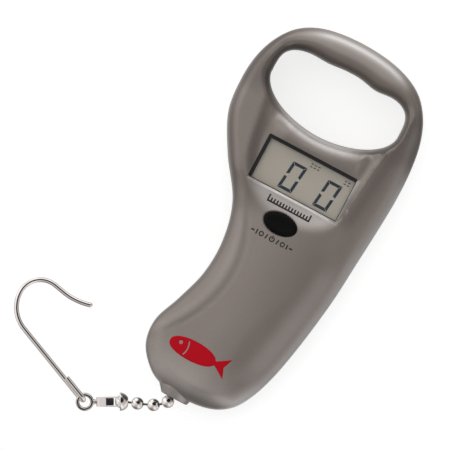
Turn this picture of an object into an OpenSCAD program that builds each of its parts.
// Digital hanging scale for fish: a two-shell housing with a handle opening, a display,
// a button and a load cell, and a bead chain with a swivel and a hook below.
// Frame: +Z runs from the chain outlet to the handle, the display faces -Y, left is -X,
// the flat back lies in the plane y = 0, and the load line is at x = 0.
// Heights in the modules are measured from the tip of the nose; lift() then
// moves the origin to the flat back face at height origin_z on the load line.
// Places on the face are [x, z]. A span is [back y, front y], the front more negative.

/* [Housing] */
// Depth of the front shell ahead of the parting plane
front_depth = 18; // [16:0.5:20]
// Depth of the back shell behind the parting plane
back_depth = 14; // [13.5:0.25:14.5]
// Wall thickness of both shells
wall = 2.2; // [1.8:0.1:2.6]
// Squareness of the shell cross-section (2 is an ellipse)
squareness = 3.9; // [3.4:0.1:4.5]
// Slope of the thumb scoop on the left side
scoop_slope = 0.55; // [0.3:0.05:0.7]
// Radius of the rounding round the handle opening
grip_round = 6.5; // [4:0.5:7]

/* [Handle opening] */
// Half width of the handle opening
open_a = 35.4; // [30:0.2:36]
// Half height of the handle opening above its centre
open_b_top = 17.2; // [14:0.2:18]
// Half height of the handle opening below its centre
open_b_bot = 18.4; // [14:0.2:18.5]
// Depth of the finger bumps under the grip
finger_bump = 1.9; // [0:0.1:2.5]

/* [Display] */
// Width of the display window
win_w = 49.3; // [44:0.1:50]
// Height of the display window
win_h = 23.7; // [20:0.1:24]
// Width of the glass behind the window
glass_w = 52; // [50.5:0.5:52.5]
// Height of the glass behind the window
glass_h = 27; // [26:0.5:27.5]

/* [Button] */
// Width of the oval button hole
button_w = 17.9; // [15:0.1:19]
// Height of the oval button hole
button_h = 10.9; // [9:0.1:12]
// Gap between the button and its hole, all round
button_gap = 0.25; // [0.15:0.05:0.4]

/* [Chain] */
// Diameter of a bead
bead_d = 6.35; // [6:0.05:6.6]
// Distance between bead centres along a straight chain
bead_pitch = 8.4; // [8.2:0.05:8.8]
// Diameter of the dumbbell pins
pin_d = 1.1; // [0.9:0.05:1.2]
// Wall of a bead
bead_wall = 0.42; // [0.35:0.01:0.45]

/* [Swivel and hook] */
// Outer diameter of the swivel ring
ring_od = 9.1; // [8.8:0.1:10]
// Wire diameter of the swivel ring
ring_wire = 1.9; // [1.6:0.1:1.9]
// Wire diameter of the hook
hook_wire = 2.6; // [2.2:0.1:2.6]
// Length of the hook's straight shank
shank_len = 44; // [36:1:60]

/* [Battery] */
// Height of the battery block
battery_h = 48.5; // [48:0.1:48.5]
// Width of the battery block
battery_w = 26.5; // [26:0.1:26.5]
// Thickness of the battery block
battery_t = 17.5; // [17:0.1:17.5]

/* [Hidden] */
$fn = 48;
origin_z = 100;              // height of the origin above the nose tip
y_part = -back_depth;        // parting plane
load_y = -14;                // y of the load line
window_at = [5.55, 127.15];
button_at = [6.6, 101.5];
opening_at = [2.6, 167.1];
bay_at = [16.25, 64.5];      // centre of the battery bay
bay_mouth = [29.5, 52];      // width and height of the bay mouth
face_inner = -27.8;          // inner face of the wall behind the window
board_span = [-21, -22.6];
board_gap = 0.02;            // between the board and the parts against it
on_board_back = board_span[0] + 0.05;

// [x, z] of the shell screws and of the board screws
screws = [[-17, 24], [38.5, 60], [-9, 80], [43, 112], [-34, 134], [-37.8, 168], [43.4, 166]];
board_screws_at = [[-25.2, 123], [38, 127], [-8.5, 98], [24.5, 98]];

// ---------- helpers ----------
function unit(v) = v/norm(v);
// unit vector from an angle in the XZ plane and a slope towards +Y
function direction(angle, slope = 0) =
    [cos(angle)*cos(slope), sin(slope), sin(angle)*cos(slope)];
function flipped(faces) = [for (face = faces) [for (i = [len(face) - 1:-1:0]) face[i]]];
// triangles that join closed rings of n points
function ring_faces(rings, n) = [
    for (k = [0:rings - 2], i = [0:n - 1]) let (next = (i + 1) % n) each [
        [k*n + i, k*n + next, (k + 1)*n + next],
        [k*n + i, (k + 1)*n + next, (k + 1)*n + i]]];

module lift() { translate([0, 0, -origin_z]) children(); }
// turns the local +Z axis to the direction "along" at the point "at"
module aim(at, along) {
    translate(at)
        rotate([0, acos(along.z/norm(along)), atan2(along.y, along.x)]) children();
}
// plate drawn in XZ about the place "at"
module plate(span, at = [0, 0]) {
    translate([at.x, span[0], at.y]) rotate([90, 0, 0])
        linear_extrude(span[0] - span[1]) children();
}
// straight pin along Y
module y_pin(at, span, radius) {
    translate([at.x, span[0], at.y]) rotate([90, 0, 0])
        cylinder(r = radius, h = span[0] - span[1]);
}
// slim rib between two places
module rib(from, to, span, thick) {
    hull() for (end = [from, to]) y_pin(end, span, thick/2, $fn = 8);
}
module oval(w, h) { scale([w/h, 1]) circle(d = h, $fn = 48); }
module rounded_rect(w, h, radius) {
    translate([-w/2 + radius, -h/2]) square([w - 2*radius, h]);
    translate([-w/2, -h/2 + radius]) square([w, h - 2*radius]);
    for (side_x = [-1, 1], side_y = [-1, 1])
        translate([side_x*(w/2 - radius), side_y*(h/2 - radius)]) circle(r = radius);
}
// round wire through the points, with a ball at each bend
module wire(points, radius) {
    for (i = [0:len(points) - 2]) {
        run = points[i + 1] - points[i];
        aim(points[i], run) cylinder(r = radius, h = norm(run), $fn = 16);
    }
    for (i = [1:len(points) - 2]) translate(points[i]) sphere(r = radius*1.08, $fn = 16);
}

// ---------- body loft ----------
body_z = [2, 200];           // ends of the lofted body
rows = 42;                   // steps of the loft along Z
cols = 20;                   // steps of the loft across X
end_trim = 0.025;            // part of the height angle left out at each end
edge_inset = 1.1;            // inset of the side edges, for each mm of inset
back_fullness = 1.13;        // swells the back shell, cut off at the flat back

// x of the outline, to half a millimetre, at sixteen equal steps of the height angle
left_edge = [5, -9.5, -18.5, -25, -26, -20.5, -15.5, -15, -20,
    -33, -42.5, -44.5, -43, -38, -30, -17.5, 1];
right_edge = [5, 19, 28.5, 34.5, 39, 42.5, 45.5, 48, 49.5,
    51, 52, 51.5, 49, 43.5, 34.5, 20, 1];

function catmull_rom(before, start, end, after, u) = 0.5*((2*start) + (end - before)*u
    + (2*before - 5*start + 4*end - after)*u*u + (3*start - before - 3*end + after)*u*u*u);
// x of an edge at t; the curve runs on into the other edge at its ends
function edge_x(edge, other, t) =
    let (n = len(edge) - 1, i = min(max(floor(t*n), 0), n - 1))
    catmull_rom(i == 0 ? other[1] : edge[i - 1], edge[i], edge[i + 1],
        i + 2 > n ? other[n - 1] : edge[i + 2], t*n - i);
// height at t, the height angle as a part of 180 degrees
function row_z(t, inset) =
    body_z[0] + inset + (body_z[1] - body_z[0] - 2*inset)*(1 - cos(180*t))/2;
// x of the inner edge of the thumb scoop
function scoop_edge_x(z) = -2 - 0.0098*(z - 70)*(z - 70);
// depth of a shell, s = -1 at the left edge to 1 at the right
function shell_depth(t, s, x, z, full, inset, front) =
    let (top = full*min(1, 1.12*pow(sin(180*t), 0.45)) - inset,
         d = top*pow(max(0, 1 - pow(abs(s), squareness)), 1/squareness),
         scoop = scoop_edge_x(z))
    front ? max(0, min(d, x < scoop ? top - scoop_slope*(scoop - x) : d))
          : min(d*back_fullness, full - inset);

// solid front or back half of the body, shrunk by "inset"
module half(front, inset) {
    full = front ? front_depth : back_depth;
    outward = front ? -1 : 1;
    n = cols + 1;
    points = [
        for (k = [0:rows])
            let (t = end_trim + (1 - 2*end_trim)*k/rows,
                 z = row_z(t, inset),
                 left = edge_x(left_edge, right_edge, t) + inset*edge_inset,
                 right = edge_x(right_edge, left_edge, t) - inset*edge_inset)
            for (j = [0:cols])
                let (s = -cos(180*j/cols), x = (left + right)/2 + (right - left)/2*s)
                [x, y_part + outward*shell_depth(t, s, x, z, full, inset, front), z]];
    skin = [for (k = [0:rows - 1], j = [0:cols - 1]) each [
        [k*n + j, k*n + j + 1, (k + 1)*n + j + 1],
        [k*n + j, (k + 1)*n + j + 1, (k + 1)*n + j]]];
    parting_face = [for (k = [0:rows - 1]) each [
        [k*n, (k + 1)*n, (k + 1)*n + cols],
        [k*n, (k + 1)*n + cols, k*n + cols]]];
    ends = [[for (j = [cols:-1:0]) j], [for (j = [0:cols]) rows*n + j]];
    faces = concat(skin, parting_face, ends);
    polyhedron(points = points, faces = front ? flipped(faces) : faces);
}

// ---------- handle opening ----------
opening_sides = 44;          // points round one section
opening_power = [4, 1.9];    // superellipse power above and below the centre

// hump 1 high, centred on the given x
function hump(x, centre) = exp(-pow((x - centre)/7.5, 2));
// place on the outline of the opening at an angle, grown by "grow"
function opening_point(angle, grow) =
    let (upper = sin(angle) >= 0,
         power = opening_power[upper ? 0 : 1],
         x = (open_a + grow)*sign(cos(angle))*pow(abs(cos(angle)), 2/power),
         z = ((upper ? open_b_top : open_b_bot) + grow)
             *sign(sin(angle))*pow(abs(sin(angle)), 2/power),
         bump = sin(angle) > 0 ? finger_bump*(hump(x, 15) + 0.5*hump(x, -12.5)) : 0)
    [opening_at.x + x, opening_at.y + z - bump];
// two triangles for each strip across a mouth, because the finger bumps make it hollow
function mouth_faces(first) = let (n = opening_sides) [
    for (i = [0:n/2 - 2])
        let (a = first + i, b = a + 1, c = first + n - 2 - i, d = c + 1)
        each [[a, b, d], [b, c, d]]];
// loft through sections [y from the parting plane, growth], front to back;
// low_growth scales the growth along the lower, display side
module opening_loft(sections, grow, low_growth) {
    n = opening_sides;
    count = len(sections);
    points = [
        for (section = sections, i = [0:n - 1])
            let (angle = 360*(i + 0.5)/n,
                 share = sin(angle) < 0 ? 1 - (1 - low_growth)*pow(sin(angle), 2) : 1,
                 p = opening_point(angle, grow + section[1]*share))
            [p.x, y_part + section[0], p.y]];
    polyhedron(points = points, faces = concat(ring_faces(count, n),
        flipped(mouth_faces(0)), mouth_faces((count - 1)*n)));
}
// the opening with its edges rounded over at both mouths
module opening(grow) {
    front_mouth = 13.5;      // distances from the parting plane
    back_mouth = 11.5;
    r = grip_round;
    opening_loft(concat([[-20, r + 2]],
        [for (q = [90:-15:0]) [-(front_mouth - r) - r*sin(q), r*(1 - cos(q))]],
        [for (q = [0:15:90]) [(back_mouth - r) + r*sin(q), r*(1 - cos(q))]],
        [[16, r + 2]]), grow, 0.55);
}

// ---------- display pad and nose ----------
// [x, z] of the pad's floor and rim
pad_floor = [[-23.5, 158], [-18.8, 131], [-14.8, 121.5], [-5, 115], [5.5, 111.7],
    [18, 112.6], [28.3, 117], [30.6, 128], [33.2, 158]];
pad_rim = [[-31, 158], [-25.8, 131], [-20.6, 116.5], [-10, 106.8], [5.5, 102.2],
    [21, 104.8], [31.2, 113], [33.9, 128], [37, 158]];
// [x of the axis, radius, height] of the nose sections
nose_sections = [[0.6, 7.2, 0], [0.2, 8.3, 2], [-0.6, 9.6, 4.5], [-0.6, 9.9, 9]];

// cutter for the dished pad round the display: a U with its round end below,
// closed at the top by the sloped rim of the opening
module pad() {
    difference() {
        hull() {
            plate([-29, -29.02]) polygon(pad_floor);
            plate([-32, -40]) polygon(pad_rim);
        }
        opening_loft([[-30, 2.4], [-17.6, 2.4], [-15, 8.4], [-11, 12]], 0, 1);
    }
}
// front or back half of the flared boss round the chain outlet
module nose(front) {
    intersection() {
        hull() for (q = nose_sections)
            translate([q[0], y_part, q[2]]) cylinder(r = q[1], h = 0.01, $fn = 40);
        translate([-20, front ? y_part - 30 : y_part, -1]) cube([40, 30, 12]);
    }
}
module nose_bore() {
    translate([0, load_y, -0.01]) cylinder(r1 = 5.6, r2 = 3.6, h = 1.26, $fn = 40);
    translate([0, load_y, 1.2]) cylinder(r = 5, h = 20, $fn = 40);
}

// ---------- housing ----------
rib_t = 1.4;
stiffener_t = 1.2;
back_rib_y = -1.5;           // where bosses and ribs start in the back shell
// [outer x, outer z, front y in the front shell] of the ribs from the first five screws
screw_ribs = [[-23, 20, -29], [46, 60, -31], [-16, 80, -31], [50, 112, -31], [-42, 136, -29]];
// stiffening ribs: front [from, to, back y], back [from, to]
front_ribs = [[[-16, 40], [40, 36], -24], [[-14, 66], [32, 66], -24], [[-14, 90], [46, 90], -25]];
back_ribs = [[[-12, 104], [44, 104]], [[-26, 122], [46, 122]], [[-34, 142], [46, 142]]];
window_bevel = 2.8;          // run of the sloped window edges

module front_hollow() {
    difference() {
        translate([0, 0.01, 0]) half(true, wall);
        // walls left round the opening, behind the pad and behind the button
        opening(wall);
        translate([-30, -40, 108]) cube([72, 40 + face_inner, 45]);
        translate([-8, -40, 92]) cube([30, 40 + face_inner, 30]);
    }
}
module front_bosses() {
    for (s = screws) y_pin(s, [y_part, -30], 3);
    for (s = board_screws_at) y_pin(s, [board_span[1] - board_gap, -30], 2.2);
    for (i = [0:len(screw_ribs) - 1])
        let (r = screw_ribs[i]) rib(screws[i], [r[0], r[1]], [y_part, r[2]], rib_t);
    for (r = front_ribs) rib(r[0], r[1], [r[2], -31], stiffener_t);
}
// window with a sloped lower and right edge
module window_cut() {
    plate([-20, -40], window_at) square([win_w, win_h], center = true);
    hull() {
        plate([-28.1, -28.2], window_at) square([win_w, win_h], center = true);
        plate([-31.1, -31.2], window_at + window_bevel/2*[1, -1])
            square([win_w + window_bevel, win_h + window_bevel], center = true);
    }
}
module front_housing() color([0.55, 0.51, 0.48]) lift() {
    $fn = 20;
    difference() {
        union() {
            difference() {
                union() {
                    half(true, 0);
                    nose(true);
                }
                front_hollow();
                pad();
            }
            // bosses and ribs, kept inside the skin
            intersection() {
                half(true, 0.4);
                front_bosses();
            }
        }
        opening(0);
        nose_bore();
        window_cut();
        plate([-20, -40], button_at) oval(button_w, button_h);
        for (s = screws) y_pin(s, [-13, -25], 1.38);
        for (s = board_screws_at) y_pin(s, [-22, -27], 0.98);
    }
}

// block centred on the battery bay, from y towards +Y by "thick"
module bay_block(w, h, y, thick) {
    translate([bay_at.x - w/2, y, bay_at.y - h/2]) cube([w, thick, h]);
}
module back_hollow() {
    difference() {
        translate([0, -0.01, 0]) half(false, wall);
        opening(wall);
    }
}
module back_bosses() {
    for (s = screws) y_pin(s, [back_rib_y, y_part], 4.2);
    // frame round the battery bay
    bay_block(40.5, 62, -4.4, 3.4);
    // pad that carries the load cell
    translate([18.9, -7.95, beam_z - 4.5]) cube([11.6, 7, 9]);
    for (i = [0:len(screw_ribs) - 1])
        let (r = screw_ribs[i]) rib(screws[i], [r[0], r[1]], [back_rib_y, y_part], rib_t);
    for (r = back_ribs) rib(r[0], r[1], [back_rib_y, -6], rib_t);
}
module back_housing() color([0.53, 0.49, 0.46]) lift() {
    $fn = 20;
    difference() {
        union() {
            difference() {
                union() {
                    half(false, 0);
                    nose(false);
                }
                back_hollow();
            }
            intersection() {
                half(false, 0.3);
                back_bosses();
            }
        }
        opening(0);
        nose_bore();
        for (s = screws) {
            y_pin(s, [1, -7.05], 3.1);
            y_pin(s, [0, -15], 1.5);
        }
        // rebate and mouth of the battery bay, finger notch above it
        bay_block(36.1, 57.6, -2.1, 3);
        bay_block(bay_mouth.x, bay_mouth.y, -12, 14);
        y_pin([bay_at.x, 92.5], [2.1, -0.9], 6, $fn = 40);
        for (x = beam_screws_x) y_pin([x, beam_z], [-3.4, -9], 1.55);
    }
}

module battery_door() color([0.5, 0.47, 0.44]) lift() {
    tab_w = 12;
    tab_t = 1.1;
    tab_x = bay_at.x - tab_w/2;
    tab_reach = bay_mouth.y/2 - 0.2;   // the tabs clear the bay mouth by 0.2
    groove_w = 18;
    difference() {
        plate([0, -2], bay_at) rounded_rect(35.5, 57, 2);
        // grip grooves
        for (i = [0:4])
            translate([bay_at.x - groove_w/2, -0.5, 80 + 2*i]) cube([groove_w, 1, 0.9]);
    }
    // lower and upper tabs
    translate([tab_x, -8, bay_at.y - tab_reach]) cube([tab_w, 6.2, tab_t]);
    translate([tab_x, -4.6, bay_at.y + tab_reach - tab_t]) cube([tab_w, 2.8, tab_t]);
}

module housing_screws() color([0.35, 0.35, 0.36]) lift() {
    head_y = -5.2;
    for (s = screws) difference() {
        union() {
            y_pin(s, [head_y, -7], 2.7);
            y_pin(s, [-6.9, -23], 1.3);
        }
        // cross recess
        for (a = [0, 90])
            translate([s.x, head_y, s.y]) rotate([0, a, 0])
                translate([-1.7, -1.1, -0.3]) cube([3.4, 1.3, 0.6]);
    }
}

// ---------- display and board ----------
lens_span = [-26.1, -27.25];
gasket_span = [-27.3, -27.78];
holder_span = [board_span[1] - board_gap, -27.75];
lcd_front_span = [-24.7, -25.95];
lcd_back_span = [-23.55, -24.7];
// [x, z, width, height] of the board's overlapping rectangles
board_rects = [[-21.9, 112, 55, 30.3], [-11.5, 94, 39.5, 18.5],
    [-28.2, 119.5, 8, 7], [32, 123.5, 9.5, 7]];
capacitors_at = [[-14, 118], [-14, 124], [-14, 130], [18, 117], [23, 117], [28, 117]];

// rectangle trimmed by a square that stands on its corner, shifted so that
// the lower left corner loses most
module trimmed_rect(w, h, trim_side) {
    intersection() {
        square([w, h], center = true);
        translate([4, 4]) rotate(45) square(trim_side, center = true);
    }
}
module glass() { trimmed_rect(glass_w, glass_h, 62.7); }
module display_lens() color([0.8, 0.85, 0.85, 0.4]) lift()
    plate(lens_span, window_at) glass();
module lens_gasket() color([0.05, 0.05, 0.06]) lift()
    plate(gasket_span, window_at) difference() {
        glass();
        translate([0.8, -0.75]) square([win_w - 2.2, win_h - 2.2], center = true);
    }
module lcd_holder() color([0.9, 0.9, 0.88]) lift()
    plate(holder_span, window_at) difference() {
        trimmed_rect(glass_w + 3, glass_h + 3, 58.5);
        square([glass_w + 0.3, glass_h + 0.3], center = true);
    }
module lcd_panel() color([0.66, 0.64, 0.58]) lift() {
    plate(lcd_front_span, window_at) square([glass_w, glass_h - 3], center = true);
    plate(lcd_back_span, window_at) square([glass_w, glass_h], center = true);
}
// strips along the lower and upper edges of the panel
module zebra_strips() color([0.85, 0.45, 0.6]) lift() {
    size = [46, 0.86, 2];
    for (end = [-1, 1])
        translate([window_at.x - size.x/2, -23.5,
            window_at.y + end*(glass_h/2 - 1.7) - size.z/2]) cube(size);
}
module main_board() color([0.1, 0.38, 0.2]) lift()
    difference() {
        plate(board_span)
            for (r = board_rects) translate([r[0], r[1]]) square([r[2], r[3]]);
        for (s = board_screws_at) y_pin(s, [-20, -24], 1.15);
    }
module board_screws() color([0.75, 0.75, 0.77]) lift()
    for (s = board_screws_at) {
        y_pin(s, [-19.8, board_span[0] + board_gap], 1.9);
        y_pin(s, [-20.9, -26.5], 0.95);
    }
module controller_chip() color([0.08, 0.08, 0.09]) lift() {
    translate([2, -20.85, 124]) cube([12, 1.9, 12]);
    // legs along the lower and upper edges
    for (i = [0:7], z = [122.8, 135.9])
        translate([3.1 + 1.3*i, on_board_back, z]) cube([0.5, 0.6, 1.3]);
}
module crystal() color([0.8, 0.8, 0.78]) lift()
    plate([-17.5, on_board_back], [22, 129]) rounded_rect(10.2, 3.8, 1.85);
module chip_capacitors() color([0.6, 0.5, 0.38]) lift()
    for (p = capacitors_at) translate([p.x, on_board_back, p.y]) cube([3.2, 1.2, 1.6]);

// ---------- button ----------
switch_w = 6.2;
switch_front = -26;
cap_w = button_w - 2*button_gap;
cap_h = button_h - 2*button_gap;
// [span, width, height] of the button's layers: flange, body and two domed steps
button_layers = [
    [[-26.75, -27.72], button_w + 2.2, button_h + 2.2],
    [[-27.7, -32.2], cap_w, cap_h],
    [[-32.15, -32.75], cap_w - 1.2, cap_h - 1.2],
    [[-32.7, -33.1], cap_w - 3.4, cap_h - 3.2]];

module tact_switch() color([0.15, 0.15, 0.16]) lift()
    difference() {
        translate([button_at.x - switch_w/2, switch_front, button_at.y - switch_w/2])
            cube([switch_w, board_span[1] - board_gap - switch_front, switch_w]);
        y_pin(button_at, [-23.7, -27], 1.8);
    }
module switch_plunger() color([0.1, 0.1, 0.1]) lift() y_pin(button_at, [-24.3, -26.68], 1.74);
module power_button() color([0.04, 0.04, 0.045]) lift()
    for (layer = button_layers) plate(layer[0], button_at) oval(layer[1], layer[2]);

// ---------- load path ----------
beam_z = 23;                 // height of the beam's axis
beam_start = [-7, -20, 19];
beam_size = [37, 12, 8];
beam_top = beam_start.z + beam_size.z;
beam_holes_x = [9.5, 16.5];
beam_screws_x = [22.2, 27.8];
through_beam = [-7, -21];
first_bead = [0, load_y, 5.2];   // inside the anchor
bead_r = bead_d/2;

module load_cell_beam() color([0.78, 0.79, 0.8]) lift()
    difference() {
        translate(beam_start) cube(beam_size);
        // two round holes joined by a slot
        for (x = beam_holes_x) y_pin([x, beam_z], through_beam, 2.9);
        translate([beam_holes_x[0], through_beam[1], beam_z - 0.6])
            cube([beam_holes_x[1] - beam_holes_x[0], 14, 1.2]);
        translate([0, load_y, 18]) cylinder(r = 2.15, h = 10);
        for (x = beam_screws_x) y_pin([x, beam_z], through_beam, 1.6);
    }
module strain_gauges() color([0.85, 0.6, 0.25]) lift()
    for (x = [7, 14]) translate([x, -17, beam_top + 0.02]) cube([5, 6, 0.25]);
module load_cell_screws() color([0.6, 0.6, 0.62]) lift()
    for (x = beam_screws_x) {
        y_pin([x, beam_z], [beam_start.y - 0.02, -22], 2.6);
        y_pin([x, beam_z], [-3.8, -20.1], 1.5);
    }
// four wires from the beam, up the left side and forward to the board
module load_cell_leads() color([0.75, 0.12, 0.1]) lift()
    for (i = [0:3])
        let (x = -5.6 + 1.5*i, beam_x = 7.5 + 1.2*i, y = -15.5 + 1.2*i, z = 33 + 1.3*(3 - i))
        wire([[beam_x, y, beam_top + 0.3], [beam_x, y, z], [x, y, z], [x, y, 104],
            [x, -20.9, 104]], 0.45);
// cup round the first bead, with a collar and a stud above it
module chain_anchor() color([0.75, 0.74, 0.72]) lift()
    difference() {
        union() {
            translate(first_bead) sphere(r = 4.2);
            translate([0, load_y, 8.6]) cylinder(r = 3, h = 2.4);
            translate([0, load_y, 8.6]) cylinder(r = 1.95, h = 22.9);
        }
        translate(first_bead) sphere(r = bead_r + 0.12);
        translate([0, load_y, 0]) cylinder(r = 2.2, h = 4);
    }
module anchor_nut() color([0.7, 0.7, 0.7]) lift()
    difference() {
        translate([0, load_y, beam_top + 0.05]) cylinder(r = 4.04, h = 3.2, $fn = 6);
        translate([0, load_y, 26]) cylinder(r = 2.02, h = 6);
    }

// ---------- battery ----------
// centre of the battery's lower end
battery_at = [3 + battery_w/2, -2.4 - battery_t/2, 40];
terminal_rise = 1.7;         // of the terminals above the battery's full height
snap_z = battery_at.z + battery_h + terminal_rise + 0.05;
snap_t = 2.6;

module battery() color([0.12, 0.12, 0.14]) lift()
    translate(battery_at) {
        linear_extrude(battery_h - 2) rounded_rect(battery_w, battery_t, 2);
        translate([0, 0, battery_h - 2.1])
            linear_extrude(1.1) rounded_rect(battery_w - 2, battery_t - 2, 1.5);
        // left and right terminals: [x, radius]
        for (q = [[-6.35, 2.9], [6.35, 3.9]])
            translate([q[0], 0, battery_h - 1.1]) cylinder(r = q[1], h = terminal_rise + 1.1);
    }
module battery_snap() color([0.08, 0.08, 0.08]) lift()
    translate([battery_at.x, battery_at.y, snap_z])
        linear_extrude(snap_t) rounded_rect(25, 12.4, 5);
module battery_leads() color([0.1, 0.1, 0.1]) lift()
    for (x = [11, 15])
        wire([[x, -11, snap_z + snap_t + 0.01], [x, -11, 99], [x, -19, 103],
            [x, -20.9, 103]], 0.7);

// ---------- chain ----------
pivot = 1.6;                 // from a bead's centre to the pin heads inside it
link_len = bead_pitch - 2*pivot;
pin_head_r = 1.5;
bead_hole_r = 1.3;
// direction of each pin, from [angle in XZ, slope towards +Y]
pin_dir = [for (q = [[264, 11], [218, 29], [202, 15], [200.5, 8]]) direction(q[0], q[1])];
swivel_dir = direction(208.2);
// each bead between two pins lines up with their mean direction
bead_axis = concat([[0, 0, -1]],
    [for (i = [0:2]) unit(pin_dir[i] + pin_dir[i + 1])], [swivel_dir]);
function bead_pos(i) = i == 0 ? first_bead
    : bead_pos(i - 1) + pivot*bead_axis[i - 1] + link_len*pin_dir[i - 1] + pivot*bead_axis[i];

module bead(i) color([0.82, 0.80, 0.77]) lift()
    aim(bead_pos(i), bead_axis[i]) difference() {
        sphere(r = bead_r);
        sphere(r = bead_r - bead_wall);
        translate([0, 0, -5]) cylinder(r = bead_hole_r, h = 10);
    }
// dumbbell pin from bead i - 1 to bead i
module pin_link(i) color([0.72, 0.70, 0.67]) lift()
    aim(bead_pos(i - 1) + pivot*bead_axis[i - 1], pin_dir[i - 1]) {
        cylinder(r = pin_d/2, h = link_len);
        sphere(r = pin_head_r);
        translate([0, 0, link_len]) sphere(r = pin_head_r);
    }
module bead_top() bead(0);
module link_1() pin_link(1);
module bead_1() bead(1);
module link_2() pin_link(2);
module bead_2() bead(2);
module link_3() pin_link(3);
module bead_3() bead(3);
module link_4() pin_link(4);
module bead_end() bead(4);

// ---------- swivel ----------
swivel_at = bead_pos(4);
ring_reach = 18;             // from the last bead to the ring's centre
ring_r = (ring_od - ring_wire)/2;

// local +Z runs from the last bead to the ring, local Y faces the viewer
module swivel_dome() {
    // round over the bead, flat towards the ring
    intersection() {
        translate([0, 0, 0.5]) sphere(r = 4.65);
        translate([-6, -6, -6]) cube([12, 12, 6.5]);
    }
}
module swivel_strap() {
    difference() {
        translate([-2.5, -2.9, 0.3]) cube([5, 5.8, 12]);
        translate([-3, -2.2, -1]) cube([6, 4.4, 12.3]);
    }
}
// joins the strap to the dome
module swivel_collar() {
    difference() {
        translate([0, 0, -0.6]) cylinder(r = 3.9, h = 1.1);
        translate([0, 0, -1]) cylinder(r = 3.3, h = 2);
    }
}
module swivel_frame() color([0.80, 0.77, 0.74]) lift()
    aim(swivel_at, swivel_dir) difference() {
        union() {
            swivel_dome();
            swivel_strap();
            swivel_collar();
        }
        // bead seat, chain hole, openings in the strap's sides, hole for the eye's neck
        sphere(r = bead_r + 0.03);
        translate([0, 0, -7]) cylinder(r = 2.15, h = 7);
        translate([-1.7, -4, 1.2]) cube([3.4, 8, 3.4]);
        translate([0, 0, 10]) cylinder(r = 1.25, h = 4);
    }
// head inside the strap, neck and ring
module swivel_eye() color([0.80, 0.77, 0.74]) lift()
    aim(swivel_at, swivel_dir) {
        translate([0, 0, 9.4]) cylinder(r = 1.9, h = 1.5);
        translate([0, 0, 10.8]) cylinder(r = 1.15, h = 3);
        translate([0, 0, ring_reach]) rotate([90, 0, 0])
            rotate_extrude() translate([ring_r, 0]) circle(d = ring_wire);
    }

// ---------- hook ----------
shank_angle = 157;
shank_dir = direction(shank_angle);
eye_w = ring_wire + hook_wire + 0.35;    // between the eye's two wires, centre to centre
eye_tilt = 15;                           // lean of the eye from -Y, in degrees
eye_dir = sin(eye_tilt)*direction(shank_angle - 90) - [0, cos(eye_tilt), 0];
// centre of the eye's bend
eye_at = swivel_at + ring_reach*swivel_dir + ring_r*shank_dir;
// [radius, turn, steps] of the arcs; a positive turn lowers the heading angle
bend_1 = [16.6, 67, 7];
bend_2 = [11.4, 102, 10];
tip_bend = [32, -27, 5];

// end of an arc in the XZ plane from a point and a heading
function arc_end(from, heading, radius, turn) = from + sign(turn)*radius
    *[sin(heading) - sin(heading - turn), 0, cos(heading - turn) - cos(heading)];
// points of a bend, each [point, tangent]
function arc_path(from, heading, bend) = [
    for (k = [1:bend[2]]) let (turn = bend[1]*k/bend[2])
        [arc_end(from, heading, bend[0], turn), direction(heading - turn)]];
// carries the vector "start" along the tangents without twist
function carry(tangents, start, i = 0, done = []) = i == len(tangents) ? done
    : let (v = i == 0 ? start : done[i - 1], tangent = tangents[i])
      carry(tangents, start, i + 1, concat(done, [unit(v - tangent*(v*tangent))]));
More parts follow.
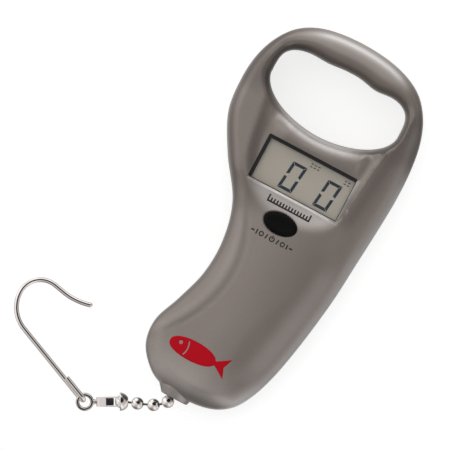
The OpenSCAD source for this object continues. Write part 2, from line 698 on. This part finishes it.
// round wire along a path of [point, tangent], with a radius for each point
module sweep(path, radii) {
    n = 14;
    count = len(path);
    normals = carry([for (q = path) q[1]], [0, 1, 0]);
    points = [
        for (k = [0:count - 1]) let (binormal = cross(path[k][1], normals[k]))
            for (i = [0:n - 1])
                path[k][0] + radii[k]*(cos(360*i/n)*normals[k] + sin(360*i/n)*binormal)];
    ends = [[for (i = [n - 1:-1:0]) i], [for (i = [0:n - 1]) (count - 1)*n + i]];
    polyhedron(points = points, faces = flipped(concat(ring_faces(count, n), ends)));
}
// a short return wire with a cut end, a half turn through the ring, the shank,
// the bend and the curled tip
module hook() color([0.78, 0.75, 0.72]) lift() {
    return_at = eye_at + eye_w/2*eye_dir;
    eye_turn = [for (k = [1:8]) let (b = 180*k/8)
        [eye_at + eye_w/2*(cos(b)*eye_dir - sin(b)*shank_dir),
         -sin(b)*eye_dir - cos(b)*shank_dir]];
    shank_end = eye_at - eye_w/2*eye_dir + shank_len*shank_dir;
    heading_2 = shank_angle - bend_1[1];
    heading_3 = heading_2 - bend_2[1];
    bend_1_end = arc_end(shank_end, shank_angle, bend_1[0], bend_1[1]);
    bend_2_end = arc_end(bend_1_end, heading_2, bend_2[0], bend_2[1]);
    tip_start = bend_2_end + 5*direction(heading_3);
    tip_end = arc_end(tip_start, heading_3, tip_bend[0], tip_bend[1]);
    tip_dir = direction(heading_3 - tip_bend[1]);
    path = concat(
        [for (reach = [11.5, 11.2, 0]) [return_at + reach*shank_dir, -shank_dir]],
        eye_turn,
        [[shank_end, shank_dir]],
        arc_path(shank_end, shank_angle, bend_1),
        arc_path(bend_1_end, heading_2, bend_2),
        [[tip_start, direction(heading_3)]],
        arc_path(tip_start, heading_3, tip_bend),
        [[tip_end + 0.5*tip_dir, tip_dir]]);
    last = len(path) - 1;
    // both cut ends are narrowed
    sweep(path, [for (k = [0:last]) hook_wire/2*(k == 0 || k == last ? 0.75 : 1)]);
}

front_housing();
back_housing();
battery_door();
housing_screws();
display_lens();
lens_gasket();
lcd_holder();
lcd_panel();
zebra_strips();
main_board();
board_screws();
controller_chip();
crystal();
chip_capacitors();
tact_switch();
switch_plunger();
power_button();
load_cell_beam();
strain_gauges();
load_cell_screws();
load_cell_leads();
chain_anchor();
anchor_nut();
battery();
battery_snap();
battery_leads();
bead_top();
link_1();
bead_1();
link_2();
bead_2();
link_3();
bead_3();
link_4();
bead_end();
swivel_frame();
swivel_eye();
hook();
